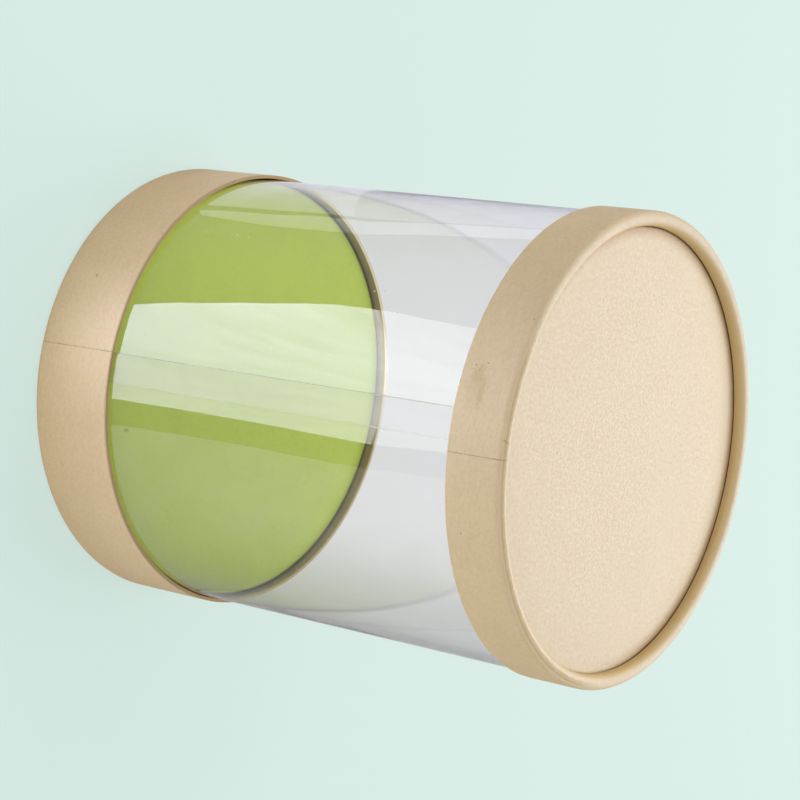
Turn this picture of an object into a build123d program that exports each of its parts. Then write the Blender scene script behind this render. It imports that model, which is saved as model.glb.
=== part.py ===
from build123d import *
import os
from math import cos, degrees, hypot, radians, sin

# Cylindrical gift box. A rolled clear film wall stands in a kraft paper base
# and is closed by a kraft paper lid that lifts off. All lengths are in millimetres.
# The box stands on its base: the origin is the centre of the base's rolled rim
# where it touches the table, and +Z runs up the wall to the lid.

# Whole box
cap_diameter = 150.0
box_height = 186.0
base_height = 32.3
lid_height = 19.0

# Wound board and paper
cap_wall = 1.0
cover_paper = 0.15
end_board = 1.5
ring_wall = 1.5

# Rolled rim of each cap: the wall curls inwards and back on to the end board
rim_bend = 1.1
rim_flat = 0.6
rim_leg = 1.55

# Seams of the glued cover papers
paper_seam_gap = 0.15
base_seam_angle = 270.0
lid_seam_angle = 279.9

# Clear film wall, rolled once round with its ends lapped and glued
film = 0.35
lap_glue = 0.05
lap_width = 9.7
lap_angle = 270.0

# Raised floor inside the base
floor_drop = 2.9
floor_edge_round = 0.45
floor_skirt = 10.0

# Ring inside the lid, which holds its end board and stops the film
lid_ring_height = 3.0

# Fits between pieces
lid_clearance = 0.2
board_clearance = 0.1
floor_clearance = 0.1

# Start, middle and end of an arc
arc_shares = (0, 0.5, 1)

rim_round = rim_bend + cap_wall + cover_paper
rim_width = rim_flat + 2 * rim_round
rim_depth = rim_round + rim_leg

cap_radius = cap_diameter / 2
cap_bore = cap_radius - cover_paper - cap_wall
board_radius = cap_bore - board_clearance

# The film is a spiral of quarter turns. Each turn's centre steps round a small
# square, so that every quarter meets the next one smoothly.
lap_pitch = film + lap_glue
centre_step = lap_pitch / 4
film_radius = cap_bore - lid_clearance - centre_step / 2
film_bore = film_radius - lap_pitch - film - centre_step / 2
lap_turn = degrees(lap_width / film_radius)

base_board_bottom = rim_depth + cover_paper
base_board_top = base_board_bottom + end_board
floor_radius = film_bore - floor_clearance
floor_height = base_height - floor_drop
floor_board_top = floor_height - cover_paper
floor_board_bottom = floor_board_top - end_board

lid_paper_top = box_height - rim_depth
lid_board_top = lid_paper_top - cover_paper
lid_board_bottom = lid_board_top - end_board
lid_liner_bottom = lid_board_bottom - cover_paper
film_top = lid_liner_bottom - lid_ring_height
film_height = film_top - base_board_top


def heading(angle):
    """Unit step in the plan, at an angle in degrees from +X."""
    return Vector(cos(radians(angle)), sin(radians(angle)))


def section(edges):
    """Upright face from a closed outline of (radius, height) edges."""
    return Plane.XZ * make_face(edges)


def ring(outer, inner, bottom, top):
    """Plain ring, or a disc where inner is zero."""
    solid = Pos(0, 0, bottom) * extrude(Circle(outer), top - bottom)
    if inner > 0:
        solid -= Pos(0, 0, bottom) * extrude(Circle(inner), top - bottom)
    return solid


def rim_path(inset, height, place):
    """Edges of one cap's wall and rolled rim, an inset in from the finished surface.

    place(radius, depth) turns a depth from the cap's outer end into a point.
    """
    outer = cap_radius - inset
    inner = cap_radius - rim_width + inset
    bend = rim_round - inset
    outer_centre = cap_radius - rim_round
    inner_centre = cap_radius - rim_width + rim_round
    diagonal = bend * cos(radians(45))
    return [
        Line(place(outer, height), place(outer, rim_round)),
        ThreePointArc(
            place(outer, rim_round),
            place(outer_centre + diagonal, rim_round - diagonal),
            place(outer_centre, inset),
        ),
        Line(place(outer_centre, inset), place(inner_centre, inset)),
        ThreePointArc(
            place(inner_centre, inset),
            place(inner_centre - diagonal, rim_round - diagonal),
            place(inner, rim_round),
        ),
        Line(place(inner, rim_round), place(inner, rim_depth)),
    ]


def rim_layer(outside, inside, height, place):
    """Section of one layer of a cap, between two insets from its finished surface."""
    outer = rim_path(outside, height, place)
    inner = rim_path(inside, height, place)
    ends = [
        Line(outer[0] @ 0, inner[0] @ 0),
        Line(outer[-1] @ 1, inner[-1] @ 1),
    ]
    return section(outer + inner + ends)


def base_point(radius, depth):
    return (radius, depth)


def lid_point(radius, depth):
    return (radius, box_height - depth)


def cap_shell(height, place, seam_angle):
    """Wound board wall of a cap, with its end curled inwards into the rim."""
    layer = rim_layer(cover_paper, cover_paper + cap_wall, height, place)
    return Rot(0, 0, seam_angle) * revolve(layer, Axis.Z)


def cap_cover(height, place, seam_angle):
    """Kraft paper glued over the board from the mouth to the end of the curl.

    Its two ends meet at a fine open seam.
    """
    layer = rim_layer(0, cover_paper, height, place)
    gap_angle = degrees(paper_seam_gap / cap_radius)
    sheet = revolve(layer, Axis.Z, revolution_arc=360 - gap_angle)
    return Rot(0, 0, seam_angle + gap_angle / 2) * sheet


def film_arc(turn, start, finish, depth):
    """Arc of one quarter turn of the film, a depth inside its outer face."""
    corner = heading(lap_angle) - heading(lap_angle + 90)
    centre = corner * (centre_step / 2)
    for passed in range(1, turn + 1):
        centre += heading(lap_angle + 90 * passed) * centre_step
    radius = film_radius - turn * centre_step - depth
    angles = [lap_angle + 90 * turn + start + (finish - start) * share for share in arc_shares]
    return ThreePointArc(*[centre + heading(angle) * radius for angle in angles])


def film_side(depth):
    """Arcs of the film's outer face, or of a face a depth inside it.

    The first and the last are the two ends of the film, which lap.
    """
    outer_end = [film_arc(0, 0, lap_turn, depth), film_arc(0, lap_turn, 90, depth)]
    quarters = [film_arc(turn, 0, 90, depth) for turn in (1, 2, 3)]
    return outer_end + quarters + [film_arc(4, 0, lap_turn, depth)]


def closed_plan(outer, inner):
    """Flat face between two rows of arcs, joined at their ends."""
    ends = [
        Line(outer[0] @ 0, inner[0] @ 0),
        Line(outer[-1] @ 1, inner[-1] @ 1),
    ]
    return make_face(outer + inner + ends)


def film_wall():
    """Clear film rolled into the wall, one end lapped outside the other."""
    plan = closed_plan(film_side(0), film_side(film))
    return Pos(0, 0, base_board_top) * extrude(plan, film_height)


def lap_adhesive():
    """Strip of clear adhesive between the two ends of the film."""
    plan = closed_plan(film_side(film)[:1], film_side(0)[-1:])
    return Pos(0, 0, base_board_top) * extrude(plan, film_height)


def floor_board():
    """Round board on top of the floor ring, with its upper edge pressed round."""
    disc = ring(floor_radius - cover_paper, 0, floor_board_bottom, floor_board_top)
    top_edge = disc.edges().group_by(Axis.Z)[-1]
    return fillet(top_edge, floor_edge_round)


def floor_cover():
    """Green paper drawn over the floor board and down the side of its ring."""
    bottom = floor_height - floor_skirt
    cup = ring(floor_radius, 0, bottom, floor_height)
    cup = fillet(cup.edges().group_by(Axis.Z)[-1], floor_edge_round + cover_paper)
    core = ring(floor_radius - cover_paper, 0, bottom, floor_board_top)
    core = fillet(core.edges().group_by(Axis.Z)[-1], floor_edge_round)
    return cup - core


def base_pieces():
    floor_ring_radius = floor_radius - cover_paper
    return {
        "base_shell": cap_shell(base_height, base_point, base_seam_angle),
        "base_cover_paper": cap_cover(base_height, base_point, base_seam_angle),
        "base_end_paper": ring(board_radius, 0, rim_depth, base_board_bottom),
        "base_end_board": ring(board_radius, 0, base_board_bottom, base_board_top),
        "base_floor_ring": ring(
            floor_ring_radius,
            floor_ring_radius - ring_wall,
            base_board_top,
            floor_board_bottom,
        ),
        "base_floor_board": floor_board(),
        "base_floor_cover": floor_cover(),
    }


def wall_pieces():
    return {"film_wall": film_wall(), "film_lap_adhesive": lap_adhesive()}


def lid_pieces():
    return {
        "lid_shell": cap_shell(lid_height, lid_point, lid_seam_angle),
        "lid_cover_paper": cap_cover(lid_height, lid_point, lid_seam_angle),
        "lid_end_paper": ring(board_radius, 0, lid_board_top, lid_paper_top),
        "lid_end_board": ring(board_radius, 0, lid_board_bottom, lid_board_top),
        "lid_liner_paper": ring(board_radius, 0, lid_liner_bottom, lid_board_bottom),
        "lid_inner_ring": ring(
            board_radius, board_radius - ring_wall, film_top, lid_liner_bottom
        ),
    }


def print_fits():
    """Print the radii that the fits depend on."""
    outside = [hypot(*tuple(arc @ share)) for arc in film_side(0) for share in arc_shares]
    inside = [hypot(*tuple(arc @ share)) for arc in film_side(film) for share in arc_shares]
    print("film reaches", round(max(outside), 3), "in a bore of", round(cap_bore, 3))
    print("film bore", round(min(inside), 3), "round a floor of", round(floor_radius, 3))
    print("film from", round(base_board_top, 2), "to", round(film_top, 2))


pieces = {**wall_pieces(), **base_pieces(), **lid_pieces()}
print_fits()
os.makedirs("parts", exist_ok=True)
for name, solid in pieces.items():
    export_step(solid, f"parts/{name}.step")
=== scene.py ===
from math import cos, degrees, pi, radians, sin

import bpy
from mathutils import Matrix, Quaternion, Vector


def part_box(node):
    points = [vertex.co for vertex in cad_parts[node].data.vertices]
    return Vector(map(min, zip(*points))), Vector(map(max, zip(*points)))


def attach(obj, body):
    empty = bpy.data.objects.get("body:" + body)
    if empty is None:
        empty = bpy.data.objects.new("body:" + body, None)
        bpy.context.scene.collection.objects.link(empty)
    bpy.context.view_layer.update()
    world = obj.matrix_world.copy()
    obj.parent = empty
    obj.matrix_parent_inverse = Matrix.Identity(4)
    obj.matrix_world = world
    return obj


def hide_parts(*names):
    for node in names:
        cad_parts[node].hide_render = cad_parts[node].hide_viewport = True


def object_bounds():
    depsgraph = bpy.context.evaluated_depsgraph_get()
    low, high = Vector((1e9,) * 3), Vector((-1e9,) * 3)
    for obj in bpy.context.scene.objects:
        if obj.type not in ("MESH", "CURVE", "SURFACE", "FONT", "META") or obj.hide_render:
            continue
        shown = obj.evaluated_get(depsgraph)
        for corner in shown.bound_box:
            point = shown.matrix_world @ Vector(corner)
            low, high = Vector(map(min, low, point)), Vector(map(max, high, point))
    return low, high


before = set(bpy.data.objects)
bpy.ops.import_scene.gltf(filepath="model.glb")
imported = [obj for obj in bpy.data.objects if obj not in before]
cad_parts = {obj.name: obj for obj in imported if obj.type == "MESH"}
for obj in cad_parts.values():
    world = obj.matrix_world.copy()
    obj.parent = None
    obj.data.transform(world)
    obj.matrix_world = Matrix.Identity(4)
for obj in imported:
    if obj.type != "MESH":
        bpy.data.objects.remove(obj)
cad_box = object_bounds()
bpy.ops.object.select_all(action="DESELECT")


# Base shell
# The base's wall is a tube wound from kraft board, 1 mm thick. Its lower end is curled
# inwards and back up into a rolled rim that grips the end board. The mouth is cut square.

CAP_RADIUS = 0.075
WRAP = 0.00015
BOARD = 0.001
GLUE_GAP = 0.00002
CURL = 0.00225
RIM_LAND = 0.0003
RIM_DEPTH = 0.0038
LEG_GAP = 0.00022
SHOULDER = 0.82
CURL_STEPS = 14
ROUND_STEPS = 256
EASED_CUT = 0.00008
BASE_FOOT = 0.0
BASE_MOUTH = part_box("base_shell")[1][2]
KRAFT_BOARD = (0.33, 0.24, 0.078, 1)
BOARD_FIBRE = (0.21, 0.15, 0.075, 1)
BOARD_FLECK = (0.09, 0.055, 0.03, 1)
BOARD_DRAW = (320, 320, 1500)
BOARD_DEPTH = 0.00004
# The cut edge's colours: brown with painted shade, and paler with a painted highlight.
SHADED_CUT_EDGE = (0.42, 0.28, 0.145, 1)
LIT_CUT_EDGE = (0.74, 0.64, 0.49, 1)


def start_point(name, place):
    """Begin a piece as one point at a place, left selected in edit mode."""
    bpy.ops.object.select_all(action="DESELECT")
    bpy.ops.mesh.primitive_plane_add(size=0.001, location=place)
    bpy.ops.object.transform_apply(location=True, rotation=False, scale=False)
    piece = bpy.context.object
    piece.name = piece.data.name = name
    bpy.ops.object.mode_set(mode="EDIT")
    bpy.ops.mesh.select_all(action="SELECT")
    bpy.ops.mesh.merge(type="CENTER")
    return piece


def draw_outline(name, outline):
    """Begin a piece as a line through (radius, height) points, all of it selected."""
    places = [Vector((radius, 0, height)) for radius, height in outline]
    piece = start_point(name, places[0])
    for here, there in zip(places, places[1:]):
        bpy.ops.mesh.extrude_region_move(TRANSFORM_OT_translate={"value": there - here})
    bpy.ops.mesh.select_all(action="SELECT")
    return piece


def turn_round(degrees_round, steps, centre=(0, 0, 0)):
    """Spin what is selected about an upright line, anticlockwise seen from above."""
    bpy.ops.mesh.spin(steps=steps, angle=-radians(degrees_round), center=centre, axis=(0, 0, 1))


def close_up():
    """Join the ends of a spun sheet and face it outwards, then leave edit mode."""
    bpy.ops.mesh.select_all(action="SELECT")
    bpy.ops.mesh.remove_doubles(threshold=0.000001)
    bpy.ops.mesh.normals_make_consistent(inside=False)
    bpy.ops.object.mode_set(mode="OBJECT")


def give_thickness(piece, thickness):
    """Thicken a sheet inwards from its outer face."""
    solidify = piece.modifiers.new("sheet thickness", "SOLIDIFY")
    solidify.thickness = thickness
    solidify.offset = -1
    solidify.use_even_offset = True
    bpy.ops.object.modifier_apply(modifier=solidify.name)


def ease_cut_edges(piece):
    """Round the sharp cut edges a little."""
    bevel = piece.modifiers.new("eased cut", "BEVEL")
    bevel.width = EASED_CUT
    bevel.segments = 2
    bevel.limit_method = "ANGLE"
    bevel.angle_limit = radians(50)
    bpy.ops.object.modifier_apply(modifier=bevel.name)


def smooth():
    """Shade the finished piece's curved faces smooth and leave cut edges crisp."""
    bpy.ops.object.shade_smooth_by_angle(angle=radians(32))


def curl_outline(inset, mouth, rim_plane, inward):
    """Outline of a cap's wall and rolled rim, an inset in from its finished face.

    inward is +1 where the cap's inside is above its rim plane, and -1 where it is below.
    The outer bend is squarer than an arc: its cosine and sine are raised to SHOULDER.
    """
    bend = CURL - inset
    outer_centre = CAP_RADIUS - CURL
    inner_centre = outer_centre - RIM_LAND
    outline = [(CAP_RADIUS - inset, mouth)]
    for step in range(CURL_STEPS + 1):
        turned = pi / 2 * step / CURL_STEPS
        radius = outer_centre + bend * max(cos(turned), 0) ** SHOULDER
        outline.append((radius, rim_plane + inward * (CURL - bend * sin(turned) ** SHOULDER)))
    for step in range(CURL_STEPS + 1):
        turned = pi / 2 * step / CURL_STEPS
        radius = inner_centre - bend * sin(turned)
        outline.append((radius, rim_plane + inward * (CURL - bend * cos(turned))))
    outline.append((inner_centre - bend, rim_plane + inward * (RIM_DEPTH - LEG_GAP)))
    return outline


def new_node(tree, kind, inputs=None, **settings):
    """Node with its settings, and inputs given as values or as sockets to join."""
    node = tree.nodes.new(kind)
    for setting, value in settings.items():
        setattr(node, setting, value)
    for socket, value in (inputs or {}).items():
        if isinstance(value, bpy.types.NodeSocket):
            tree.links.new(value, node.inputs[socket])
        else:
            node.inputs[socket].default_value = value
    return node


def work_out(tree, operation, *values, clamp=False):
    """Result of a Math node on numbers or sockets."""
    inputs = dict(enumerate(values))
    return new_node(tree, "ShaderNodeMath", inputs, operation=operation, use_clamp=clamp).outputs[0]


def work_vector(tree, operation, *values):
    """Result of a Vector Math node on vectors or sockets."""
    node = new_node(tree, "ShaderNodeVectorMath", dict(enumerate(values)), operation=operation)
    return node.outputs["Value" if operation in ("DOT_PRODUCT", "LENGTH", "DISTANCE") else "Vector"]


def fade(tree, value, start, end, low=0.0, high=1.0):
    """Value carried smoothly from low at start to high at end."""
    inputs = {"Value": value, "From Min": start, "From Max": end, "To Min": low, "To Max": high}
    return new_node(
        tree, "ShaderNodeMapRange", inputs, interpolation_type="SMOOTHSTEP"
    ).outputs["Result"]


def blend_colour(tree, share, first, second, mode="MIX"):
    """First colour with a share of the second mixed in."""
    node = new_node(tree, "ShaderNodeMix", data_type="RGBA", blend_type=mode)
    for socket, value in ((0, share), (6, first), (7, second)):
        if isinstance(value, bpy.types.NodeSocket):
            tree.links.new(value, node.inputs[socket])
        else:
            node.inputs[socket].default_value = value
    return node.outputs[2]


def grain(tree, place, scale, detail=3.0, rough=0.55):
    """Plain cloudy noise at a place, with a feature size of about one over scale."""
    inputs = {"Vector": place, "Scale": scale, "Detail": detail, "Roughness": rough}
    return new_node(tree, "ShaderNodeTexNoise", inputs).outputs["Fac"]


SOCKETS = {"c": "NodeSocketColor", "f": "NodeSocketFloat", "v": "NodeSocketVector"}


def new_effect(name, takes, gives):
    """Node group with named inputs and outputs, and its two end nodes."""
    tree = bpy.data.node_groups.new(name, "ShaderNodeTree")
    for in_out, named in (("INPUT", takes), ("OUTPUT", gives)):
        for socket, letter in named.items():
            tree.interface.new_socket(name=socket, in_out=in_out, socket_type=SOCKETS[letter])
    start = tree.nodes.new("NodeGroupInput").outputs
    end = tree.nodes.new("NodeGroupOutput").inputs
    return tree, start, end


def place_effect(tree, effect, **inputs):
    """Put an effect into a material, with this material's own values."""
    return new_node(tree, "ShaderNodeGroup", inputs, node_tree=effect).outputs


def fibre_effect():
    """Matted wood fibres of kraft stock: soft clouds, drawn fibres and dark flecks."""
    takes = {"Place": "v", "Draw": "v", "Paper": "c", "Fibre": "c", "Fleck": "c", "Contrast": "f"}
    gives = {"Color": "c", "Roughness": "f", "Height": "f"}
    tree, start, end = new_effect("matted kraft fibres", takes, gives)
    place = start["Place"]
    drawn = work_vector(tree, "MULTIPLY", place, start["Draw"])
    clouds = grain(tree, place, 70, 2)
    mottle = grain(tree, place, 900, 4, 0.62)
    fibres = grain(tree, drawn, 1, 5, 0.65)
    tone = work_out(tree, "MULTIPLY", clouds, 0.22)
    tone = work_out(tree, "MULTIPLY_ADD", mottle, 0.40, tone)
    tone = work_out(tree, "MULTIPLY_ADD", fibres, 0.38, tone)
    share = fade(tree, tone, 0.36, 0.66)
    share = work_out(tree, "MULTIPLY", share, start["Contrast"])
    colour = blend_colour(tree, share, start["Paper"], start["Fibre"])
    cells = new_node(tree, "ShaderNodeTexVoronoi", {"Vector": place, "Scale": 210.0}).outputs
    fleck = fade(tree, cells["Distance"], 0.025, 0.06, 1.0, 0.0)
    chosen = new_node(tree, "ShaderNodeSeparateColor", {"Color": cells["Color"]}).outputs["Red"]
    fleck = work_out(tree, "MULTIPLY", fleck, fade(tree, chosen, 0.86, 0.97))
    colour = blend_colour(tree, fleck, colour, start["Fleck"])
    tree.links.new(colour, end["Color"])
    tree.links.new(fade(tree, mottle, 0.3, 0.7, 0.54, 0.70), end["Roughness"])
    height = work_out(tree, "MULTIPLY_ADD", fibres, 0.6, mottle)
    tree.links.new(height, end["Height"])
    return tree


def new_finish(name):
    """Empty material, with its surface shader and its place on the piece."""
    finish = bpy.data.materials.new(name)
    finish.use_nodes = True
    tree = finish.node_tree
    shader = tree.nodes["Principled BSDF"]
    place = tree.nodes.new("ShaderNodeTexCoord").outputs["Object"]
    return finish, tree, shader, place


def raise_grain(tree, shader, height, depth, strength=1.0):
    """Feed a height into the shader's normal."""
    inputs = {"Height": height, "Distance": depth, "Strength": strength}
    bump = new_node(tree, "ShaderNodeBump", inputs)
    tree.links.new(bump.outputs["Normal"], shader.inputs["Normal"])


def board_finish(name, mouth=None, inward=1):
    """Bare wound board: brown fibre, with the plies showing as fine rings on a cut.

    A mouth's height gives that cut edge its own colour: brown with painted shade in front,
    and paler on the far left, a painted highlight where the light falls on it.
    """
    finish, tree, shader, place = new_finish(name)
    fibre = place_effect(
        tree, kraft_fibres, Place=place, Draw=BOARD_DRAW, Paper=KRAFT_BOARD,
        Fibre=BOARD_FIBRE, Fleck=BOARD_FLECK, Contrast=0.8,
    )
    level = new_node(tree, "ShaderNodeSeparateXYZ", {"Vector": place}).outputs
    flat = new_node(tree, "ShaderNodeCombineXYZ", {"X": level["X"], "Y": level["Y"]}).outputs[0]
    ply = new_node(tree, "ShaderNodeCombineXYZ", {"X": work_vector(tree, "LENGTH", flat)}).outputs[0]
    plies = grain(tree, ply, 3600, 1)
    colour = blend_colour(tree, fade(tree, plies, 0.4, 0.65, 0.0, 0.35), fibre["Color"], BOARD_FIBRE)
    if mouth is not None:
        inside = work_out(tree, "MULTIPLY_ADD", level["Z"], -inward, mouth * inward)
        torn = grain(tree, place, 1800, 3)
        inside = work_out(tree, "MULTIPLY_ADD", torn, 0.0003, inside)
        cut = fade(tree, inside, 0.00015, 0.0003, 0.85, 0.0)
        # Painted highlight on the far left of the cut edge, painted shade elsewhere.
        lit_side = fade(tree, level["X"], -0.005, 0.02, 1.0, 0.0)
        lit_side = work_out(tree, "MULTIPLY", lit_side, fade(tree, level["Y"], 0.0, 0.02))
        edge = blend_colour(tree, lit_side, SHADED_CUT_EDGE, LIT_CUT_EDGE)
        colour = blend_colour(tree, cut, colour, edge)
    tree.links.new(colour, shader.inputs["Base Color"])
    tree.links.new(fibre["Roughness"], shader.inputs["Roughness"])
    shader.inputs["Specular IOR Level"].default_value = 0.3
    raise_grain(tree, shader, work_out(tree, "ADD", fibre["Height"], plies), BOARD_DEPTH)
    return finish


def dress(piece, finish, body, slot, *nodes):
    """Give a piece its finish and its body, and let it stand for CAD nodes; its slot is not used."""
    piece.data.materials.clear()
    piece.data.materials.append(finish)
    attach(piece, body)
    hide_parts(*nodes)


kraft_fibres = fibre_effect()
bare_board = board_finish("bare kraft board")
base_board = board_finish("base tube board", BASE_MOUTH)
base_tube = draw_outline(
    "base_board_tube", curl_outline(WRAP + GLUE_GAP, BASE_MOUTH, BASE_FOOT, 1)
)
turn_round(360, ROUND_STEPS)
close_up()
give_thickness(base_tube, BOARD - GLUE_GAP)
ease_cut_edges(base_tube)
smooth()
dress(base_tube, base_board, "base", "kraft_board", "base_shell")


# Kraft wrap of the base
# Thin natural kraft paper is glued round the tube and follows the curl down to its end.
# It goes round once, and its two ends meet at an upright seam in front.

SEAM_GAP_DEGREES = 0.05
BASE_SEAM = 270.0
KRAFT = (0.615, 0.478, 0.288, 1)
KRAFT_FIBRE = (0.50, 0.368, 0.20, 1)
# Painted light on the curl: the two crown colours are painted sheen, and the shoulder and inner leg
# colours are painted shade.
NEAR_CROWN_SHEEN_KRAFT = (0.60, 0.49, 0.34, 1)
FAR_CROWN_SHEEN_KRAFT = (0.52, 0.425, 0.295, 1)
SHOULDER_SHADE_KRAFT = (0.37, 0.255, 0.09, 1)
LEG_SHADE_KRAFT = (0.57, 0.395, 0.145, 1)
KRAFT_FLECK = (0.22, 0.13, 0.055, 1)
SEAM_GLUE = (0.30, 0.17, 0.06, 1)
DARK_FLECK = (0.20, 0.12, 0.055, 1)
BROWN_FLECK = (0.33, 0.2, 0.1, 1)
WRAP_DRAW = (330, 330, 1150)
PAPER_DEPTH = 0.00003
PAPER_SHEEN = 0.8
NEAR_SIDE = (0.574, -0.819, 0)
SHOULDER_SHADE_RADIUS = 0.0732
LEG_FROM = 0.0703
LEG_TO = 0.0717
SEAM_LINE = 0.0003


def spot_effect():
    """Soft ragged patch at one place, for rubs, nicks and stray specks."""
    takes = {"Place": "v", "Centre": "v", "Reach": "v", "Ragged": "f", "Fine": "f"}
    tree, start, end = new_effect("ragged spot", takes, {"Mask": "f"})
    offset = work_vector(tree, "SUBTRACT", start["Place"], start["Centre"])
    offset = work_vector(tree, "DIVIDE", offset, start["Reach"])
    distance = work_vector(tree, "LENGTH", offset)
    torn = work_out(tree, "SUBTRACT", grain(tree, start["Place"], start["Fine"], 4, 0.7), 0.5)
    distance = work_out(tree, "MULTIPLY_ADD", torn, start["Ragged"], distance)
    tree.links.new(fade(tree, distance, 0.35, 1.0, 1.0, 0.0), end["Mask"])
    return tree


def seam_effect():
    """Narrow upright line on one side of a round wall, wavering and patchy if asked."""
    takes = {"Place": "v", "Along": "v", "Across": "v", "Width": "f", "Waver": "f", "Gaps": "f"}
    tree, start, end = new_effect("upright line", takes, {"Mask": "f"})
    aside = work_vector(tree, "DOT_PRODUCT", start["Place"], start["Across"])
    waver = work_out(tree, "SUBTRACT", grain(tree, start["Place"], 260, 2), 0.5)
    aside = work_out(tree, "MULTIPLY_ADD", waver, start["Waver"], aside)
    aside = work_out(tree, "DIVIDE", work_out(tree, "ABSOLUTE", aside), start["Width"])
    line = fade(tree, aside, 0.25, 1.0, 1.0, 0.0)
    side = work_vector(tree, "DOT_PRODUCT", start["Place"], start["Along"])
    near = fade(tree, side, 0.02, 0.05)
    gaps = fade(tree, grain(tree, start["Place"], 330, 3), 0.4, 0.6, start["Gaps"], 0.0)
    line = work_out(tree, "MULTIPLY", line, near)
    line = work_out(tree, "MULTIPLY", line, work_out(tree, "SUBTRACT", 1.0, gaps))
    tree.links.new(line, end["Mask"])
    return tree


def facing_out(angle):
    """Directions along and across a line at an angle on a round wall."""
    turned = radians(angle)
    return {"Along": (cos(turned), sin(turned), 0), "Across": (-sin(turned), cos(turned), 0)}


def add_marks(tree, place, colour, height, marks):
    """Work small marks into a colour and a height.

    A mark is its centre, its reach each way, how ragged and how fine its edge is, the
    share it has in the colour, and its tint.
    """
    for centre, reach, ragged, fine, share, tint in marks:
        spot = place_effect(
            tree, ragged_spot, Place=place, Centre=centre, Reach=reach, Ragged=ragged, Fine=fine
        )["Mask"]
        colour = blend_colour(tree, work_out(tree, "MULTIPLY", spot, share), colour, tint)
        height = work_out(tree, "MULTIPLY_ADD", spot, -share, height)
    return colour, height


def wrap_finish(name, seam_angle, rim_plane, inward, marks, mouth=None):
    """Kraft wrap with its seam and marks, and the colours that its curl takes.

    The crown is painted paler as painted sheen, more on the near side than on the far side.
    A golden band of painted shade runs round the shoulder on the near side, and the inner
    leg is golden all round, also painted shade. A mouth's height gives the paper's cut edge
    there a brown line of painted shade.
    """
    finish, tree, shader, place = new_finish(name)
    fibre = place_effect(
        tree, kraft_fibres, Place=place, Draw=WRAP_DRAW, Paper=KRAFT,
        Fibre=KRAFT_FIBRE, Fleck=KRAFT_FLECK, Contrast=0.55,
    )
    level = new_node(tree, "ShaderNodeSeparateXYZ", {"Vector": place}).outputs["Z"]
    inside = work_out(tree, "MULTIPLY_ADD", level, inward, -inward * rim_plane)
    outward = work_vector(tree, "LENGTH", work_vector(tree, "MULTIPLY", place, (1, 1, 0)))
    front = work_vector(tree, "DOT_PRODUCT", place, NEAR_SIDE)
    # Painted sheen: the crown is painted paler, more on the near side than on the far side.
    crown_sheen = blend_colour(tree, fade(tree, front, -0.05, 0.0), FAR_CROWN_SHEEN_KRAFT, NEAR_CROWN_SHEEN_KRAFT)
    crown = fade(tree, inside, 0.0003, 0.0009, 0.8, 0.0)
    colour = blend_colour(tree, crown, fibre["Color"], crown_sheen)
    # Painted shade: a golden band round the shoulder on the near side.
    aside = work_out(tree, "ABSOLUTE", work_out(tree, "SUBTRACT", outward, SHOULDER_SHADE_RADIUS))
    shoulder_shade = fade(tree, aside, 0.0005, 0.0011, 0.8, 0.0)
    shoulder_shade = work_out(tree, "MULTIPLY", shoulder_shade, fade(tree, front, 0.033, 0.055))
    colour = blend_colour(tree, shoulder_shade, colour, SHOULDER_SHADE_KRAFT)
    # Painted shade: the inner leg is golden all round.
    leg = fade(tree, outward, LEG_FROM, LEG_TO, 0.75, 0.0)
    colour = blend_colour(tree, leg, colour, LEG_SHADE_KRAFT)
    if mouth is not None:
        # Painted shade: a brown line at the paper's cut edge at the mouth.
        mouth_shade = fade(tree, level, mouth - 0.0007, mouth - 0.0003, 0.0, 0.85)
        colour = blend_colour(tree, mouth_shade, colour, SHADED_CUT_EDGE)
    seam = place_effect(
        tree, upright_line, Place=place, **facing_out(seam_angle), Width=SEAM_LINE,
        Waver=SEAM_LINE, Gaps=0.6,
    )["Mask"]
    colour = blend_colour(tree, work_out(tree, "MULTIPLY", seam, 0.55), colour, SEAM_GLUE)
    colour, height = add_marks(tree, place, colour, fibre["Height"], marks)
    tree.links.new(colour, shader.inputs["Base Color"])
    tree.links.new(fibre["Roughness"], shader.inputs["Roughness"])
    shader.inputs["Specular IOR Level"].default_value = PAPER_SHEEN
    raise_grain(tree, shader, height, PAPER_DEPTH)
    return finish


def on_wall(angle, height):
    """Place on the outside of a cap, at an angle from the front towards +X."""
    turned = radians(angle)
    return (CAP_RADIUS * sin(turned), -CAP_RADIUS * cos(turned), height)


def wrap_cap(name, outline, seam_angle):
    """Kraft sheet turned once round a cap from its seam."""
    wrap = draw_outline(name, outline)
    start = radians(seam_angle + SEAM_GAP_DEGREES / 2)
    bpy.ops.transform.rotate(value=-start, orient_axis="Z", center_override=(0, 0, 0))
    turn_round(360 - SEAM_GAP_DEGREES, ROUND_STEPS)
    close_up()
    give_thickness(wrap, WRAP)
    smooth()
    return wrap


ragged_spot = spot_effect()
upright_line = seam_effect()
base_marks = [
    (on_wall(-18.9, 0.0149), (0.0009, 0.0009, 0.0007), 0.4, 700, 0.5, DARK_FLECK),
    (on_wall(31, 0.0105), (0.0016, 0.0016, 0.0007), 0.9, 700, 0.35, BROWN_FLECK),
]
base_kraft = wrap_finish("base kraft wrap", BASE_SEAM, BASE_FOOT, 1, base_marks, BASE_MOUTH)
base_wrap = wrap_cap("base_kraft_wrap", curl_outline(0, BASE_MOUTH, BASE_FOOT, 1), BASE_SEAM)
dress(base_wrap, base_kraft, "base", "kraft_paper", "base_cover_paper")


# End board of the base and its facing
# A round grey-brown board closes the base. It is pushed in against the curl, with a disc of
# the same kraft paper on its outer face, and the curl's edge presses on that paper.

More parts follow.
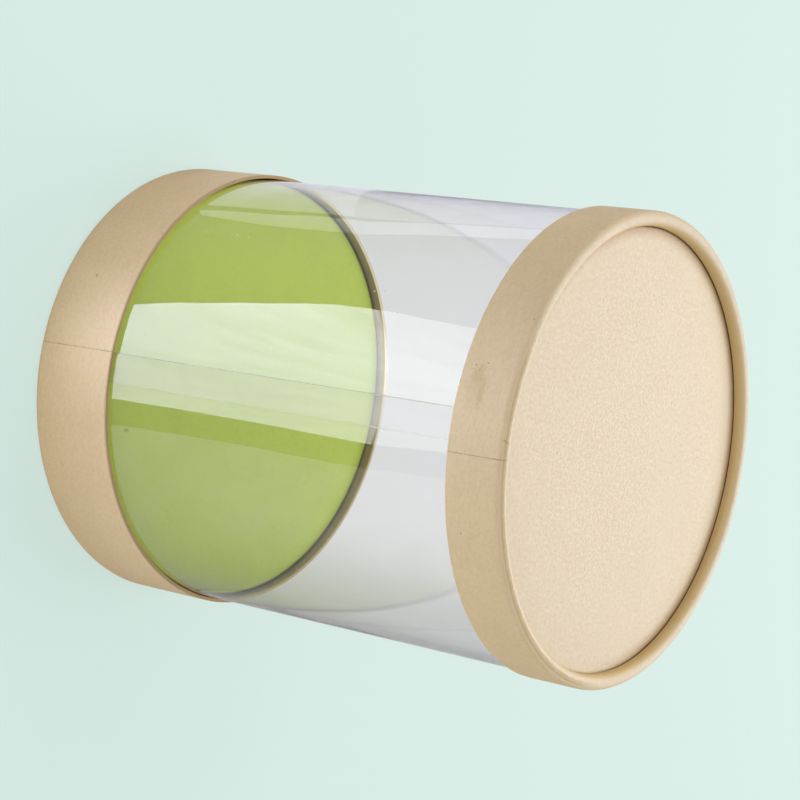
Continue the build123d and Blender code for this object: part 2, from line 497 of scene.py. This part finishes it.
DISC_RADIUS = 0.07375
DISC_RINGS = (0, 0.2, 0.4, 0.6, 0.8, 0.92)
BASE_PAPER_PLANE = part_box("base_end_paper")[0][2]
CURL_EDGE = 0.0702
FAR_SIDE = (-0.707, 0.707, 0)
DISC_DRAW = (420, 1300, 700)
DISC_DEPTH = 0.000016
# The end facing's colours are the same kraft painted paler, as painted sheen.
SHEEN_PALE_KRAFT = (0.61, 0.503, 0.350, 1)
SHEEN_PALE_FIBRE = (0.52, 0.413, 0.265, 1)
CURL_SHADE = (0.12, 0.05, 0.012, 1)
SHADED_KRAFT = (0.37, 0.23, 0.09, 1)


def ring_effect():
    """Soft ring at one distance from the box's axis."""
    takes = {"Place": "v", "Radius": "f", "Width": "f", "Waver": "f"}
    tree, start, end = new_effect("ring mark", takes, {"Mask": "f"})
    level = work_vector(tree, "MULTIPLY", start["Place"], (1, 1, 0))
    waver = work_out(tree, "SUBTRACT", grain(tree, start["Place"], 160, 2), 0.5)
    radius = work_vector(tree, "LENGTH", level)
    radius = work_out(tree, "MULTIPLY_ADD", waver, start["Waver"], radius)
    aside = work_out(tree, "ABSOLUTE", work_out(tree, "SUBTRACT", radius, start["Radius"]))
    aside = work_out(tree, "DIVIDE", aside, start["Width"])
    tree.links.new(fade(tree, aside, 0.0, 1.0, 1.0, 0.0), end["Mask"])
    return tree


def disc_finish(name, marks):
    """Kraft facing of an end board, with painted shade where the curl's edge meets it.

    The dark line and the brown band beside it, both painted shade, are deeper on the far side.
    """
    finish, tree, shader, place = new_finish(name)
    fibre = place_effect(
        tree, kraft_fibres, Place=place, Draw=DISC_DRAW, Paper=SHEEN_PALE_KRAFT,
        Fibre=SHEEN_PALE_FIBRE, Fleck=KRAFT_FLECK, Contrast=0.38,
    )
    # Painted shadow: a brown band inside the curl's edge, where the bead's shadow falls.
    bead_shadow = place_effect(
        tree, ring_mark, Place=place, Radius=CURL_EDGE, Width=0.0050, Waver=0.0008
    )["Mask"]
    far = work_vector(tree, "DOT_PRODUCT", place, FAR_SIDE)
    bead_shadow = work_out(tree, "MULTIPLY", bead_shadow, fade(tree, far, -0.05, -0.01, 0.1, 0.85))
    colour = blend_colour(tree, bead_shadow, fibre["Color"], SHADED_KRAFT)
    # Painted shade: a dark line at the curl's edge, deeper on the far side.
    contact_shade = place_effect(
        tree, ring_mark, Place=place, Radius=CURL_EDGE, Width=0.0009, Waver=0.0006
    )["Mask"]
    contact_shade = work_out(tree, "MULTIPLY", contact_shade, fade(tree, far, -0.05, -0.02, 0.35, 0.9))
    colour = blend_colour(tree, contact_shade, colour, CURL_SHADE)
    colour, height = add_marks(tree, place, colour, fibre["Height"], marks)
    rough = work_out(tree, "MULTIPLY_ADD", contact_shade, 0.4, fibre["Roughness"], clamp=True)
    tree.links.new(colour, shader.inputs["Base Color"])
    tree.links.new(rough, shader.inputs["Roughness"])
    shader.inputs["Specular IOR Level"].default_value = PAPER_SHEEN
    swell = work_out(tree, "MULTIPLY", grain(tree, place, 28, 2), 5.0)
    raise_grain(tree, shader, work_out(tree, "ADD", height, swell), DISC_DEPTH)
    return finish


def cut_disc(name, radius, bottom, top):
    """Flat round disc of paper, closed at its middle."""
    rings = [radius * share for share in DISC_RINGS]
    outline = [(ring, bottom) for ring in rings] + [(radius, bottom), (radius, top)]
    outline += [(ring, top) for ring in reversed(rings)]
    disc = draw_outline(name, outline)
    turn_round(360, ROUND_STEPS)
    close_up()
    smooth()
    return disc


def face_with_board(node):
    """Give a carried-over CAD board the bare board finish."""
    node_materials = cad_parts[node].data.materials
    node_materials.clear()
    node_materials.append(bare_board)


ring_mark = ring_effect()
end_marks = [
    ((0.0062, -0.0395, BASE_PAPER_PLANE), (0.0006, 0.0006, 0.4), 0.3, 900, 0.5, DARK_FLECK),
    ((-0.031, 0.022, BASE_PAPER_PLANE), (0.0005, 0.0005, 0.4), 0.3, 900, 0.4, DARK_FLECK),
]
end_kraft = disc_finish("kraft end facing", end_marks)
base_disc = cut_disc("base_kraft_disc", DISC_RADIUS, BASE_PAPER_PLANE, BASE_PAPER_PLANE + WRAP)
dress(base_disc, end_kraft, "base", "kraft_paper", "base_end_paper")
for board in ("base_end_board", "base_floor_ring", "base_floor_board"):
    face_with_board(board)


# Clear film wall
# One sheet of clear stiff film, 0.35 mm thick, is rolled once round and lapped on itself.
# Every quarter turn swings about its own centre, so the roll closes in by one lap's height.

FILM = 0.00035
LAP_GLUE = 0.00005
LAP_PITCH = FILM + LAP_GLUE
CENTRE_STEP = LAP_PITCH / 4
FILM_RADIUS = 0.0736
LAP_WIDTH = 0.0097
LAP_ANGLE = 270.0
FILM_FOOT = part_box("film_wall")[0][2]
FILM_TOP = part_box("film_wall")[1][2]
QUARTER_STEPS = 64
LAP_STEPS = 6
LAP_TURN = degrees(LAP_WIDTH / FILM_RADIUS)
OUTER_CUT_LINE = 0.00018
INNER_CUT_LINE = 0.0003
WAVE_DEPTH = 0.0001
CLEAN_FILM = (0.998, 0.998, 0.997, 1)
SMUDGED_FILM = (0.985, 0.986, 0.987, 1)
CUT_FILM = (0.75, 0.745, 0.62, 1)
FILM_SPECK = (0.5, 0.5, 0.46, 1)
FILM_DUST = (0.6, 0.6, 0.58, 1)
SOFT_LIGHT_THROUGH = (0.91, 0.92, 0.92, 1)


def heading(angle):
    """Level direction at an angle in degrees from +X."""
    return Vector((cos(radians(angle)), sin(radians(angle)), 0))


def film_effect():
    """Handled clear sheet: slow waves, hairline scratches, a few smudges and dust."""
    takes = {"Place": "v", "Cut": "f", "Under": "f"}
    gives = {"Color": "c", "Roughness": "f", "Height": "f"}
    tree, start, end = new_effect("handled clear sheet", takes, gives)
    place = start["Place"]
    waves = grain(tree, place, 22, 1)
    upright = work_vector(tree, "MULTIPLY", place, (2600, 2600, 60))
    scratches = fade(tree, grain(tree, upright, 1, 2), 0.72, 0.8)
    smudges = fade(tree, grain(tree, place, 45, 3), 0.5, 0.75)
    cells = new_node(tree, "ShaderNodeTexVoronoi", {"Vector": place, "Scale": 160.0}).outputs
    dust = fade(tree, cells["Distance"], 0.02, 0.05, 1.0, 0.0)
    chosen = new_node(tree, "ShaderNodeSeparateColor", {"Color": cells["Color"]}).outputs["Red"]
    dust = work_out(tree, "MULTIPLY", dust, fade(tree, chosen, 0.6, 0.8))
    rough = work_out(tree, "MULTIPLY_ADD", smudges, 0.025, 0.012)
    rough = work_out(tree, "MULTIPLY_ADD", scratches, 0.05, rough)
    rough = work_out(tree, "MULTIPLY_ADD", start["Under"], 0.12, rough)
    rough = work_out(tree, "MULTIPLY_ADD", start["Cut"], 0.4, rough)
    rough = work_out(tree, "MULTIPLY_ADD", dust, 0.5, rough, clamp=True)
    clear = blend_colour(tree, smudges, CLEAN_FILM, SMUDGED_FILM)
    clear = blend_colour(tree, work_out(tree, "MULTIPLY", start["Under"], 0.2), clear, CUT_FILM)
    clear = blend_colour(tree, start["Cut"], clear, CUT_FILM)
    tree.links.new(clear, end["Color"])
    tree.links.new(rough, end["Roughness"])
    tree.links.new(work_out(tree, "MULTIPLY_ADD", dust, 0.02, waves), end["Height"])
    return tree


def clear_finish(name, ior):
    """Clear sheet that lets lamps through to what stands behind it."""
    finish, tree, shader, place = new_finish(name)
    outer_cut = facing_out(LAP_ANGLE)
    inner_cut = facing_out(LAP_ANGLE + LAP_TURN)
    cut = place_effect(tree, upright_line, Place=place, **outer_cut, Width=OUTER_CUT_LINE)
    under = place_effect(tree, upright_line, Place=place, **inner_cut, Width=INNER_CUT_LINE)
    sheet = place_effect(tree, clear_sheet, Place=place, Cut=cut["Mask"], Under=under["Mask"])
    colour, height = add_marks(tree, place, sheet["Color"], sheet["Height"], film_marks)
    tree.links.new(colour, shader.inputs["Base Color"])
    tree.links.new(sheet["Roughness"], shader.inputs["Roughness"])
    shader.inputs["Transmission Weight"].default_value = 1
    shader.inputs["IOR"].default_value = ior
    raise_grain(tree, shader, height, WAVE_DEPTH)
    path = tree.nodes.new("ShaderNodeLightPath").outputs
    soft_light = work_out(tree, "MAXIMUM", path["Is Shadow Ray"], path["Is Diffuse Ray"])
    open_way = new_node(tree, "ShaderNodeBsdfTransparent", {"Color": SOFT_LIGHT_THROUGH})
    both = new_node(tree, "ShaderNodeMixShader", {0: soft_light, 1: shader.outputs[0]})
    tree.links.new(open_way.outputs[0], both.inputs[2])
    tree.links.new(both.outputs[0], tree.nodes["Material Output"].inputs["Surface"])
    return finish


def start_upright_edge(name, foot):
    """Begin a sheet as one upright edge, as tall as the film."""
    piece = start_point(name, foot)
    bpy.ops.mesh.extrude_region_move(
        TRANSFORM_OT_translate={"value": (0, 0, FILM_TOP - FILM_FOOT)}
    )
    bpy.ops.mesh.select_all(action="SELECT")
    return piece


film_marks = [
    ((0.0237, -0.0697, 0.0401), (0.0008, 0.0008, 0.0014), 1.2, 900, 0.5, FILM_SPECK),
    ((0.0447, -0.0585, 0.098), (0.0006, 0.0006, 0.0008), 0.8, 900, 0.4, FILM_DUST),
]
clear_sheet = film_effect()
clear_film = clear_finish("clear rolled film", 1.5)
swing_centre = (heading(LAP_ANGLE) - heading(LAP_ANGLE + 90)) * (CENTRE_STEP / 2)
lap_centre = swing_centre.copy()
first_edge = swing_centre + heading(LAP_ANGLE) * FILM_RADIUS + Vector((0, 0, FILM_FOOT))
film_roll = start_upright_edge("clear_film_roll", first_edge)
for quarter in range(4):
    turn_round(90, QUARTER_STEPS, swing_centre)
    swing_centre = swing_centre + heading(LAP_ANGLE + 90 * (quarter + 1)) * CENTRE_STEP
turn_round(LAP_TURN, LAP_STEPS, swing_centre)
close_up()
give_thickness(film_roll, FILM)
smooth()
dress(film_roll, clear_film, "base", "clear_film", "film_wall")


# Adhesive in the film's lap
# A strip of clear adhesive, as tall as the film, holds the outer end of the film to the
# inner one. It is a hair thinner than the space between them, and a hair short at each end.

ADHESIVE = 0.00003
STRIP_SHORT = 0.02
adhesive_clear = clear_finish("clear lap adhesive", 1.48)
strip_radius = FILM_RADIUS - FILM - (LAP_GLUE - ADHESIVE) / 2
strip_start = heading(LAP_ANGLE + STRIP_SHORT) * strip_radius
lap_strip = start_upright_edge("film_lap_strip", lap_centre + strip_start + Vector((0, 0, FILM_FOOT)))
turn_round(LAP_TURN - 2 * STRIP_SHORT, LAP_STEPS, lap_centre)
close_up()
give_thickness(lap_strip, ADHESIVE)
smooth()
dress(lap_strip, adhesive_clear, "base", "clear_adhesive", "film_lap_adhesive")


# Green floor
# A board on a ring stands inside the film. Lime green paper is drawn tight over it and down
# its side, so its edge is round and slightly pleated, and it holds the film against the base.

FLOOR_RADIUS = 0.0727
FLOOR_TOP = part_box("base_floor_cover")[1][2]
SKIRT_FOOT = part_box("base_floor_cover")[0][2]
FLOOR_EDGE = 0.0006
FLOOR_RINGS = (0, 0.2, 0.4, 0.6, 0.8, 0.95)
GREEN = (0.44, 0.545, 0.058, 1)
GREEN_FIBRE = (0.35, 0.445, 0.042, 1)
GREEN_FLECK = (0.30, 0.36, 0.1, 1)
SHADED_GREEN_EDGE = (0.16, 0.21, 0.03, 1)
GREEN_DRAW = (1200, 500, 900)
GREEN_SHEEN = 0.25


def pleat_effect():
    """Fine folds across the rim of a round of paper, as it is drawn over an edge."""
    tree, start, end = new_effect("drawn pleats", {"Place": "v", "Radius": "f"}, {"Height": "f"})
    level = work_vector(tree, "MULTIPLY", start["Place"], (1, 1, 0))
    outward = work_vector(tree, "NORMALIZE", level)
    folds = grain(tree, outward, 42, 3)
    radius = work_vector(tree, "LENGTH", level)
    inside = work_out(tree, "SUBTRACT", start["Radius"], radius)
    near = fade(tree, inside, 0.0, 0.0025, 1.0, 0.0)
    tree.links.new(work_out(tree, "MULTIPLY", folds, near), end["Height"])
    return tree


def green_finish(name):
    """Lime green paper with a fine tooth, and a dark ring of painted shade at its edge."""
    finish, tree, shader, place = new_finish(name)
    fibre = place_effect(
        tree, kraft_fibres, Place=place, Draw=GREEN_DRAW, Paper=GREEN,
        Fibre=GREEN_FIBRE, Fleck=GREEN_FLECK, Contrast=0.5,
    )
    # Painted shade: a dark ring where the paper turns down at its edge.
    edge_shade = place_effect(
        tree, ring_mark, Place=place, Radius=FLOOR_RADIUS, Width=0.0011, Waver=0.0004
    )["Mask"]
    edge_shade = work_out(tree, "MULTIPLY", edge_shade, 0.6)
    colour = blend_colour(tree, edge_shade, fibre["Color"], SHADED_GREEN_EDGE)
    tree.links.new(colour, shader.inputs["Base Color"])
    tree.links.new(fibre["Roughness"], shader.inputs["Roughness"])
    shader.inputs["Specular IOR Level"].default_value = GREEN_SHEEN
    pleats = place_effect(tree, drawn_pleats, Place=place, Radius=FLOOR_RADIUS)["Height"]
    height = work_out(tree, "MULTIPLY_ADD", pleats, 6.0, fibre["Height"])
    raise_grain(tree, shader, height, PAPER_DEPTH)
    return finish


drawn_pleats = pleat_effect()
green_paper = green_finish("lime green paper")
drawn_over = [(FLOOR_RADIUS * share, FLOOR_TOP) for share in FLOOR_RINGS]
for step in range(CURL_STEPS + 1):
    turned = pi / 2 * step / CURL_STEPS
    radius = FLOOR_RADIUS - FLOOR_EDGE * (1 - sin(turned))
    drawn_over.append((radius, FLOOR_TOP - FLOOR_EDGE * (1 - cos(turned))))
drawn_over.append((FLOOR_RADIUS, SKIRT_FOOT))
floor_paper = draw_outline("green_floor_paper", drawn_over)
turn_round(360, ROUND_STEPS)
close_up()
give_thickness(floor_paper, WRAP - GLUE_GAP)
smooth()
dress(floor_paper, green_paper, "base", "green_paper", "base_floor_cover")


# Lid shell
# The lid is made like the base but lower: a wound board tube, its upper end curled in. It
# slips over the film and lifts straight off.

LID_TOP = cad_box[1][2]
LID_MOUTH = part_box("lid_shell")[0][2]
lid_board = board_finish("lid tube board", LID_MOUTH, -1)
lid_tube = draw_outline(
    "lid_board_tube", curl_outline(WRAP + GLUE_GAP, LID_MOUTH, LID_TOP, -1)
)
turn_round(360, ROUND_STEPS)
close_up()
give_thickness(lid_tube, BOARD - GLUE_GAP)
ease_cut_edges(lid_tube)
smooth()
dress(lid_tube, lid_board, "lid", "kraft_board", "lid_shell")


# Kraft wrap of the lid
# The same kraft paper, with its seam a little to the right of the front. The front is
# rubbed brown beside the seam, and the curl has a small nick above it.

LID_SEAM = 279.9
RUBBED = (0.47, 0.335, 0.155, 1)
LID_FLECKS = (
    (-9.9, 0.1710, 0.0004, 0.2, 0.7),
    (-10.7, 0.1749, 0.0004, 0.2, 0.7),
    (-9.0, 0.1702, 0.0003, 0.2, 0.6),
    (-8.9, 0.1727, 0.0003, 0.2, 0.6),
)
NICK = (
    ((0.0073, -0.0738, 0.1856), 0.7),
    ((0.0076, -0.0731, 0.1859), 0.7),
    ((0.0079, -0.0723, 0.1860), 0.6),
)
NICK_REACH = (0.0003, 0.0006, 0.0006)
lid_marks = [
    (on_wall(-4.8, 0.1729), (0.0085, 0.0085, 0.0045), 2.4, 1700, 0.3, RUBBED),
    (on_wall(-3.6, 0.1751), (0.0062, 0.0062, 0.0014), 2.8, 1700, 0.6, RUBBED),
    (on_wall(-8.0, 0.1724), (0.0038, 0.0038, 0.0024), 3.2, 1700, 0.55, RUBBED),
]
for angle, height, reach, ragged, share in LID_FLECKS:
    lid_marks.append((on_wall(angle, height), (reach,) * 3, ragged, 900, share, DARK_FLECK))
lid_marks += [
    (on_wall(28, 0.1720), (0.0005, 0.0005, 0.0004), 0.3, 900, 0.6, DARK_FLECK),
    (on_wall(-48.5, 0.1768), (0.0004, 0.0004, 0.0004), 0.3, 900, 0.6, DARK_FLECK),
]
lid_marks += [(dash, NICK_REACH, 0.2, 900, share, DARK_FLECK) for dash, share in NICK]
lid_kraft = wrap_finish("lid kraft wrap", LID_SEAM, LID_TOP, -1, lid_marks)
lid_wrap = wrap_cap("lid_kraft_wrap", curl_outline(0, LID_MOUTH, LID_TOP, -1), LID_SEAM)
dress(lid_wrap, lid_kraft, "lid", "kraft_paper", "lid_cover_paper")


# End board of the lid, its facing and its lining
# A round board closes the lid under the curl, faced with plain kraft paper. Green paper
# lines its inner face.

LID_PAPER_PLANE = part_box("lid_end_paper")[1][2]
LINER_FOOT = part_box("lid_liner_paper")[0][2]
lid_disc = cut_disc("lid_kraft_disc", DISC_RADIUS, LID_PAPER_PLANE - WRAP, LID_PAPER_PLANE)
dress(lid_disc, end_kraft, "lid", "kraft_paper", "lid_end_paper")
face_with_board("lid_end_board")
lid_liner = cut_disc("lid_green_liner", DISC_RADIUS, LINER_FOOT, LINER_FOOT + WRAP)
dress(lid_liner, green_paper, "lid", "green_paper", "lid_liner_paper")


# Stop ring of the lid
# A low ring of board is glued in under the lining. It holds the end board up against the
# curl, and the film's top edge comes to rest on it.

STOP_RING_WALL = 0.0015
stop_ring = draw_outline(
    "lid_stop_ring",
    [
        (DISC_RADIUS, FILM_TOP),
        (DISC_RADIUS, LINER_FOOT),
        (DISC_RADIUS - STOP_RING_WALL, LINER_FOOT),
        (DISC_RADIUS - STOP_RING_WALL, FILM_TOP),
        (DISC_RADIUS, FILM_TOP),
    ],
)
turn_round(360, ROUND_STEPS)
close_up()
ease_cut_edges(stop_ring)
smooth()
dress(stop_ring, bare_board, "lid", "kraft_board", "lid_inner_ring")


# Studio
# The box stands on a plain pale floor. Large soft lamps hang above it on the left and
# behind, weaker ones stand in front and on both sides, and glowing cards, which are no
# lamps, lie on the floor round it, where only the film's gloss shows them, as painted
# reflections.

FLOOR_SIZE = 8.0
FLOOR_COLOUR = (0.735, 0.92, 0.86, 1)
FLOOR_THROUGH_FILM = (0.84, 0.828, 0.905, 1)
SHADE_THROUGH_FILM = (0.2, 0.195, 0.06, 1)
SHADE_FROM = 0.03
SHADE_TO = 0.075
SHADE_SHARE = 0.31
FLOOR_MATT = (0.52, 0.575, 0.565, 1)
BOUNCE_GREY = (0.72, 0.72, 0.69, 1)
SHADOW_SHARE = 0.30
SKY_COLOUR = (1.0, 0.985, 0.96, 1)
SKY_LIGHT = 0.385
LAMP_COLOUR = (1.0, 0.99, 0.97)


def seen_directly(tree):
    """One where the camera, a gloss or a clear piece looks at a backdrop."""
    path = tree.nodes.new("ShaderNodeLightPath").outputs
    seen = work_out(tree, "MAXIMUM", path["Is Camera Ray"], path["Is Glossy Ray"])
    return work_out(tree, "MAXIMUM", seen, path["Is Transmission Ray"])


def backdrop_colour(tree, through=FLOOR_THROUGH_FILM):
    """Mint where it is looked at plainly, and paler grey through the film and in gloss."""
    direct = tree.nodes.new("ShaderNodeLightPath").outputs["Is Camera Ray"]
    return blend_colour(tree, direct, through, FLOOR_COLOUR)


def backdrop_finish():
    """Pale floor that keeps its colour in view and a soft share of the shadow.

    Seen through the film it is grey, and a little darker on the right.
    """
    finish, tree, shader, place = new_finish("pale studio floor")
    seen = seen_directly(tree)
    matt = new_node(tree, "ShaderNodeBsdfDiffuse")
    tree.links.new(blend_colour(tree, seen, BOUNCE_GREY, FLOOR_MATT), matt.inputs["Color"])
    across = new_node(tree, "ShaderNodeSeparateXYZ", {"Vector": place}).outputs["X"]
    shaded = fade(tree, across, SHADE_FROM, SHADE_TO, 0.0, SHADE_SHARE)
    through = blend_colour(tree, shaded, FLOOR_THROUGH_FILM, SHADE_THROUGH_FILM)
    colour = backdrop_colour(tree, through)
    glow = new_node(tree, "ShaderNodeEmission", {"Color": colour, "Strength": 1.0})
    share = work_out(tree, "MULTIPLY", seen, 1 - SHADOW_SHARE)
    both = new_node(tree, "ShaderNodeMixShader", {0: share, 1: matt.outputs[0]})
    tree.links.new(glow.outputs[0], both.inputs[2])
    tree.links.new(both.outputs[0], tree.nodes["Material Output"].inputs["Surface"])
    return finish


bpy.ops.object.select_all(action="DESELECT")
bpy.ops.mesh.primitive_plane_add(size=FLOOR_SIZE, location=(0, 0, 0))
studio_floor = bpy.context.object
studio_floor.name = "studio_floor"
studio_floor.data.materials.append(backdrop_finish())

world = bpy.data.worlds.new("studio light")
bpy.context.scene.world = world
world.use_nodes = True
sky = world.node_tree
sky_view = new_node(sky, "ShaderNodeBackground", {"Color": backdrop_colour(sky), "Strength": 1.0})
sky_light = sky.nodes["Background"]
sky_light.inputs["Color"].default_value = SKY_COLOUR
sky_light.inputs["Strength"].default_value = SKY_LIGHT
sky_mix = new_node(sky, "ShaderNodeMixShader", {0: seen_directly(sky), 1: sky_light.outputs[0]})
sky.links.new(sky_view.outputs[0], sky_mix.inputs[2])
sky.links.new(sky_mix.outputs[0], sky.nodes["World Output"].inputs["Surface"])


def hang_lamp(name, place, aim, size, power, in_gloss=False, matt=True, spread=180):
    """Square soft lamp at a place, turned to a point, its light spread over some degrees."""
    bpy.ops.object.light_add(type="AREA", location=place)
    lamp = bpy.context.object
    lamp.name = name
    lamp.rotation_euler = (Vector(aim) - Vector(place)).to_track_quat("-Z", "Y").to_euler()
    lamp.data.shape = "SQUARE"
    lamp.data.size = size
    lamp.data.energy = power
    lamp.data.spread = radians(spread)
    lamp.data.color = LAMP_COLOUR
    lamp.visible_camera = False
    lamp.visible_diffuse = matt
    lamp.visible_glossy = in_gloss
    lamp.visible_transmission = False


hang_lamp("key_lamp", place=(-0.78, 0.15, 1.42), aim=(0, 0, 0.1), size=1.0, power=8.5)
hang_lamp("left_lamp", place=(-1.0, -0.95, 0.25), aim=(0, 0, 0.1), size=0.7, power=3.9)
hang_lamp("right_lamp", place=(1.2, -0.6, 0.34), aim=(0, 0, 0.12), size=0.6, power=6.9)
hang_lamp(
    "low_lamp", place=(0, -0.40, 0.03), aim=(0, -0.075, 0.01), size=0.25, power=0.07, spread=60,
)
hang_lamp(
    "back_lamp", place=(-0.15, 1.2, 1.0), aim=(0, 0, 0.18), size=1.0, power=16.0, in_gloss=True,
)
hang_lamp(
    "front_sheen", place=(0, -1.5, 0.6), aim=(0, 0, 0.15), size=1.2, power=4.5, in_gloss=True,
    matt=False,
)


CARD_LEVEL = 0.002
FLAG_LEVEL = 0.001
EDGE_CARD_LEVEL = 0.0025
FLAG_HALF = 700
EDGE_CENTRE = (0.001, -0.076, CARD_LEVEL)
GLOW_CHANGE = (0.1845, 0.1868)
TINT_CHANGE = (0.176, 0.182)
STREAKS = (45, 9, 0)


def lay_card(name, corners, height, near, far=None, side=None, colour=(1, 1, 1, 1), beyond=None):
    """Glowing card, no lamp, that only gloss can see as a painted reflection, with its corners
    in millimetres on one level.

    It glows at the near strength, and comes down to far where the film's gloss shows it
    past the base's far edge, which is a round about EDGE_CENTRE. Its colour can turn to
    beyond just before that. GLOW_CHANGE and TINT_CHANGE are distances from EDGE_CENTRE.
    Side gives a direction, the two places along it between which the glow dims, and the
    share left.
    """
    places = [Vector((x / 1000, y / 1000, height)) for x, y in corners]
    card = start_point(name, places[0])
    for here, there in zip(places, places[1:]):
        bpy.ops.mesh.extrude_region_move(TRANSFORM_OT_translate={"value": there - here})
    bpy.ops.mesh.select_all(action="SELECT")
    bpy.ops.mesh.edge_face_add()
    bpy.ops.object.mode_set(mode="OBJECT")
    finish, tree, shader, place = new_finish(name)
    tree.nodes.remove(shader)
    away = work_vector(tree, "DISTANCE", place, EDGE_CENTRE)
    level = fade(tree, away, *GLOW_CHANGE, near, near if far is None else far)
    if side is not None:
        towards, start, end, left = side
        beside = work_vector(tree, "DOT_PRODUCT", place, towards)
        level = work_out(tree, "MULTIPLY", level, fade(tree, beside, start, end, 1.0, left))
    streaks = grain(tree, work_vector(tree, "MULTIPLY", place, STREAKS), 1, 2)
    level = work_out(tree, "MULTIPLY", level, fade(tree, streaks, 0.25, 0.75, 0.88, 1.12))
    tint = blend_colour(tree, fade(tree, away, *TINT_CHANGE), colour, beyond or colour)
    glow = new_node(tree, "ShaderNodeEmission", {"Color": tint, "Strength": level})
    tree.links.new(glow.outputs[0], tree.nodes["Material Output"].inputs["Surface"])
    card.data.materials.append(finish)
    card.visible_camera = False
    card.visible_diffuse = False
    card.visible_transmission = False
    card.visible_shadow = False


lay_card(
    "dark_flag",
    [(-FLAG_HALF, -FLAG_HALF), (FLAG_HALF, -FLAG_HALF), (FLAG_HALF, FLAG_HALF),
     (-FLAG_HALF, FLAG_HALF)],
    FLAG_LEVEL, near=0.02,
)
lay_card(
    "front_card_left",
    [(-26, -92), (-36, -102), (-62, -124), (-93, -145), (-130, -165), (-155, -187),
     (-172, -211), (-193, -241), (-240, -300), (-260, -420), (-22, -420), (-17, -313),
     (-15, -257), (-8, -174), (-2, -109), (-1, -92)],
    CARD_LEVEL, near=7.0, far=2.65, side=((-1, 0, 0), 0.07, 0.22, 0.6), colour=(0.97, 0.98, 1.36, 1),
    beyond=(1.4, 1.4, 1.35, 1),
)
lay_card(
    "front_card_right",
    [(-1, -92), (-2, -109), (-8, -174), (-15, -257), (-17, -313), (-22, -420), (115, -420),
     (89, -301), (80, -244), (64, -207), (50, -171), (37, -134), (27, -106), (23, -92)],
    CARD_LEVEL, near=4.7, far=1.62, colour=(1.0, 1.0, 1.26, 1), beyond=(1.38, 1.38, 1.34, 1),
)
lay_card(
    "right_card",
    [(40, -92), (43, -100), (59, -126), (79, -159), (101, -191), (120, -221), (145, -277),
     (200, -400), (420, -300), (480, 0), (300, 30), (140, 30), (85, 20), (84, 0), (80, -45),
     (62, -75)],
    CARD_LEVEL, near=1.25, far=0.95, side=((0, 1, 0), -0.13, 0.0, 0.08), colour=(0.97, 0.93, 1.3, 1),
    beyond=(1.0, 1.0, 1.0, 1),
)
lay_card(
    "left_strip_card",
    [(-88, -44), (-96, -41), (-129, -30), (-153, -17), (-179, -11), (-247, 41), (-340, 115),
     (-370, 70), (-260, -1), (-186, -40), (-163, -44), (-133, -48), (-91, -48)],
    CARD_LEVEL, near=0.9, colour=(1.0, 1.0, 1.15, 1),
)
lay_card(
    "left_veil_card",
    [(-85, -34), (-92, -37), (-127, -23), (-151, -11), (-177, -2), (-209, 15), (-250, 50),
     (-345, 125), (-400, 300), (-60, 420), (-90, 220), (-70, 80), (-78, 20)],
    CARD_LEVEL, near=0.8, far=0.55, colour=(0.98, 0.97, 1.12, 1),
)
lay_card(
    "right_edge_card",
    [(66, 60), (70, 20), (84, 22), (140, 32), (230, 60), (330, 200), (330, 420), (40, 420),
     (68, 220)],
    EDGE_CARD_LEVEL, near=0.52, side=((0.93, -0.36, 0), 0.03, 0.12, 0.12), colour=(1.0, 1.0, 0.97, 1),
)


# Camera
# A long lens looks down from the front. The photograph is turned, so the box lies on its
# side in the picture.

CAMERA_PLACE = Vector((0.03719, -0.58308, 0.51735))
CAMERA_AIM = Vector((0.01038, 0.00048, 0.12921))
CAMERA_ROLL = 99.917
bpy.ops.object.camera_add(location=CAMERA_PLACE)
camera = bpy.context.object
upright = (CAMERA_AIM - CAMERA_PLACE).to_track_quat("-Z", "Y")
camera.rotation_euler = (upright @ Quaternion((0, 0, 1), radians(CAMERA_ROLL))).to_euler()
camera.data.sensor_width = 36
camera.data.lens = 97.193
camera.data.shift_x = -0.1
camera.data.shift_y = 0.075
camera.data.clip_start = 0.01
camera.data.clip_end = 50
bpy.context.scene.camera = camera
bpy.context.scene.view_settings.view_transform = "Standard"
